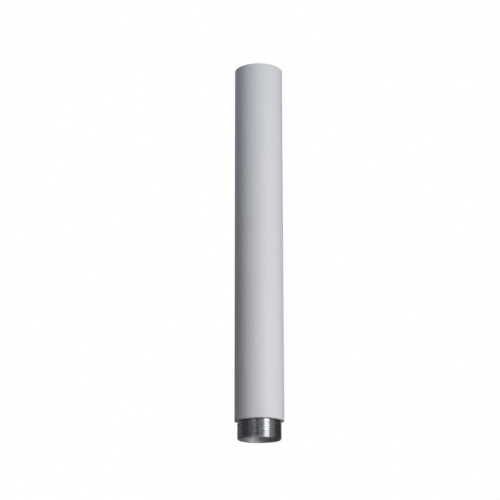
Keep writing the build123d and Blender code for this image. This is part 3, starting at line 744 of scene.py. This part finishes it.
def soft_light(name, azimuth, distance, z, towards_z, size, power, colour, spread=180):
    """Soft box at azimuth (degrees to the camera's right) and z, which faces the axis at towards_z."""
    data = bpy.data.lights.new(name, "AREA")
    data.shape = "RECTANGLE"
    data.size, data.size_y = size
    data.energy = power
    data.color = colour
    data.spread = math.radians(spread)
    light = bpy.data.objects.new(name, data)
    bpy.context.scene.collection.objects.link(light)
    angle = math.radians(azimuth)
    light.location = (distance * math.sin(angle), -distance * math.cos(angle), z)
    aim = Vector((0, 0, towards_z)) - light.location
    light.rotation_euler = aim.to_track_quat("-Z", "Y").to_euler()
    light.visible_camera = False


def build_lights():
    soft_light(
        "key",
        azimuth=39.8, distance=1.6, z=0, towards_z=0.05, size=(0.67, 1.5),
        power=22.7, colour=WARM_WHITE,
    )
    soft_light(
        "right_card",
        azimuth=76, distance=1.8, z=0.2, towards_z=0.1, size=(0.7, 1.4),
        power=1.8, colour=WARM_WHITE,
    )
    soft_light(
        "left_card",
        azimuth=-129, distance=1.8, z=0.6, towards_z=0.3, size=(0.9, 1.4),
        power=1.3, colour=(0.97, 0.97, 1),
    )
    soft_light(
        "upper_fill",
        azimuth=-66, distance=0.5, z=0.75, towards_z=0.43, size=(0.4, 0.3),
        power=0.045, colour=(0.5, 0.78, 1), spread=45,
    )
    soft_light(
        "sky",
        azimuth=15, distance=0.8, z=1.3, towards_z=0.4, size=(0.6, 0.6),
        power=0.24, colour=(0.5, 0.8, 1), spread=70,
    )
    soft_light(
        "warm_card",
        azimuth=-26, distance=1.8, z=0.2, towards_z=0.1, size=(0.3, 1.4),
        power=2.2, colour=(1, 0.86, 0.83),
    )
    soft_light(
        "side_card",
        azimuth=-46, distance=1.8, z=0.6, towards_z=0.3, size=(0.8, 1.4),
        power=1.2, colour=(1, 0.94, 0.98),
    )
    soft_light(
        "front_card",
        azimuth=5, distance=1.9, z=0.2, towards_z=0.1, size=(0.4, 1.4),
        power=1.6, colour=BLUISH_WHITE,
    )
    soft_light(
        "middle_card",
        azimuth=23, distance=1.9, z=0, towards_z=0.05, size=(0.4, 1.4),
        power=0.7, colour=BLUISH_WHITE,
    )
    soft_light(
        "back_key",
        azimuth=193, distance=1.2, z=1.5, towards_z=0.2, size=(0.8, 0.8),
        power=24, colour=WARM_WHITE,
    )
    soft_light(
        "back_card",
        azimuth=181, distance=2.4, z=0.5, towards_z=0.2, size=(1.2, 1.8),
        power=6, colour=WARM_WHITE,
    )
    soft_light(
        "under",
        azimuth=180, distance=0.4, z=-1.2, towards_z=0, size=(0.7, 0.7),
        power=0.35, colour=(0.98, 0.99, 1), spread=80,
    )


def white_to_camera(tree, out_kind, dim):
    """Output that shows plain white to the camera, and gives dim, a shader's output, to all other rays."""
    out = tree.nodes.new(out_kind)
    mix = tree.nodes.new("ShaderNodeMixShader")
    kind = "ShaderNodeBackground" if out_kind == "ShaderNodeOutputWorld" else "ShaderNodeEmission"
    white = tree.nodes.new(kind)
    white.inputs["Color"].default_value = (1, 1, 1, 1)
    white.inputs["Strength"].default_value = 1
    path = tree.nodes.new("ShaderNodeLightPath")
    tree.links.new(path.outputs["Is Camera Ray"], mix.inputs[0])
    tree.links.new(dim, mix.inputs[1])
    tree.links.new(white.outputs[0], mix.inputs[2])
    tree.links.new(mix.outputs[0], out.inputs["Surface"])


def build_backdrop():
    """Floor far below the hanging antenna, and a dim room. The camera sees plain white in place of both."""
    bm = bmesh.new()
    bmesh.ops.create_grid(bm, x_segments=8, y_segments=8, size=FLOOR_REACH)
    floor = mesh_object("floor", bm)
    floor.location.z = FLOOR_Z
    pale = bpy.data.materials.new("floor")
    pale.use_nodes = True
    pale.node_tree.nodes.clear()
    diffuse = pale.node_tree.nodes.new("ShaderNodeBsdfDiffuse")
    diffuse.inputs["Color"].default_value = (0.35, 0.35, 0.36, 1)
    white_to_camera(pale.node_tree, "ShaderNodeOutputMaterial", diffuse.outputs[0])
    floor.data.materials.append(pale)

    world = bpy.data.worlds.new("studio")
    bpy.context.scene.world = world
    world.use_nodes = True
    world.node_tree.nodes.clear()
    room = world.node_tree.nodes.new("ShaderNodeBackground")
    room.inputs["Color"].default_value = (0.95, 0.96, 1, 1)
    room.inputs["Strength"].default_value = 0.08
    white_to_camera(world.node_tree, "ShaderNodeOutputWorld", room.outputs[0])


# --------------------------------------------------------------------------------------------------
# Assembly
# --------------------------------------------------------------------------------------------------


def break_edges(node, width):
    """Rounds a CAD node's sharp edges by a modifier, which leaves its mesh as it is."""
    bevel = node.modifiers.new("broken_edges", "BEVEL")
    bevel.width = width
    bevel.segments = 2
    bevel.limit_method = "ANGLE"
    bevel.angle_limit = math.radians(40)


def stand_in(piece, slot, finish, *replaced):
    """Gives a new piece its finish and its body, and hides the CAD nodes that it stands for. The slot
    argument is not used.
    """
    piece.data.materials.append(finish)
    if replaced:
        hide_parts(*replaced)
    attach(piece, "root")


def finish_bore(base):
    """Gives the base's inner wall and the chamfer of its mouth a finish of their own."""
    reach = BORE_R + 1 * MM
    base.data.materials.append(bored_steel())
    for face in base.data.polygons:
        if face.center.xy.length < reach:
            face.material_index = 1


def finish_nodes(finishes):
    """Gives every CAD node the finish of its slot."""
    for subpart in frame["record"]["subparts"]:
        node = frame["nodes"][subpart["node"]]
        node.data.materials.clear()
        node.data.materials.append(finishes[subpart["material_slot"]])


FINISHES = {
    "radome": paint(),
    "base_steel": turned_steel(),
    "screw_steel": drawn_metal("screw_steel", (0.6, 0.6, 0.61), (0.45, 0.44, 0.43), roughness=0.28),
    "plate_aluminium": turned_metal("aluminium", (0.78, 0.79, 0.8), (0.66, 0.67, 0.69), roughness=0.36),
    "nickel_plate": nickel(),
    "gold_plate": drawn_metal("gold_plate", (0.86, 0.62, 0.24), (0.7, 0.46, 0.16), roughness=0.2),
    "brass": turned_metal("brass", (0.72, 0.53, 0.23), (0.5, 0.33, 0.13), roughness=0.3),
    "copper": drawn_metal("copper", (0.76, 0.4, 0.26), (0.5, 0.22, 0.13), roughness=0.32),
    "ptfe": turned_plastic("ptfe", (0.8, 0.8, 0.77), (0.68, 0.68, 0.64)),
    "acetal": turned_plastic("acetal", (0.76, 0.76, 0.71), (0.66, 0.66, 0.6)),
    "moulded_black": moulding("moulded_black", (0.02, 0.02, 0.022), (0.04, 0.04, 0.042), roughness=0.5),
    "plug_moulding": moulding("plug_moulding", (0.5, 0.51, 0.53), (0.45, 0.46, 0.48), roughness=0.5),
    "glass_fibre": pultruded_fibre(),
    "ferrite": sintered_ferrite(),
    "heat_shrink": shrunk_sleeve(),
    "seal_rubber": rubber(),
    "sealant": cured_sealant(),
}

build_camera()
build_lights()
build_backdrop()
finish_nodes(FINISHES)

stand_in(radome_shell(), "radome", FINISHES["radome"], "radome_tube")
stand_in(bond_line(), "sealant", FINISHES["sealant"])
base = base_shell()
stand_in(base, "base_steel", FINISHES["base_steel"], "threaded_base")
finish_bore(base)
stand_in(radome_cap(), "plug_moulding", FINISHES["plug_moulding"], "top_plug")
for rib in cap_ribs():
    stand_in(rib, "plug_moulding", FINISHES["plug_moulding"])
stand_in(sealant_bead(), "sealant", FINISHES["sealant"], "top_seal_bead")

for name in ("connector_shell", "connector_plate", "connector_screws", "vent_plug", "connector_dielectric"):
    break_edges(frame["nodes"][name], 0.12 * MM)

view = bpy.context.scene.view_settings
view.view_transform = "Standard"
view.look = "None"
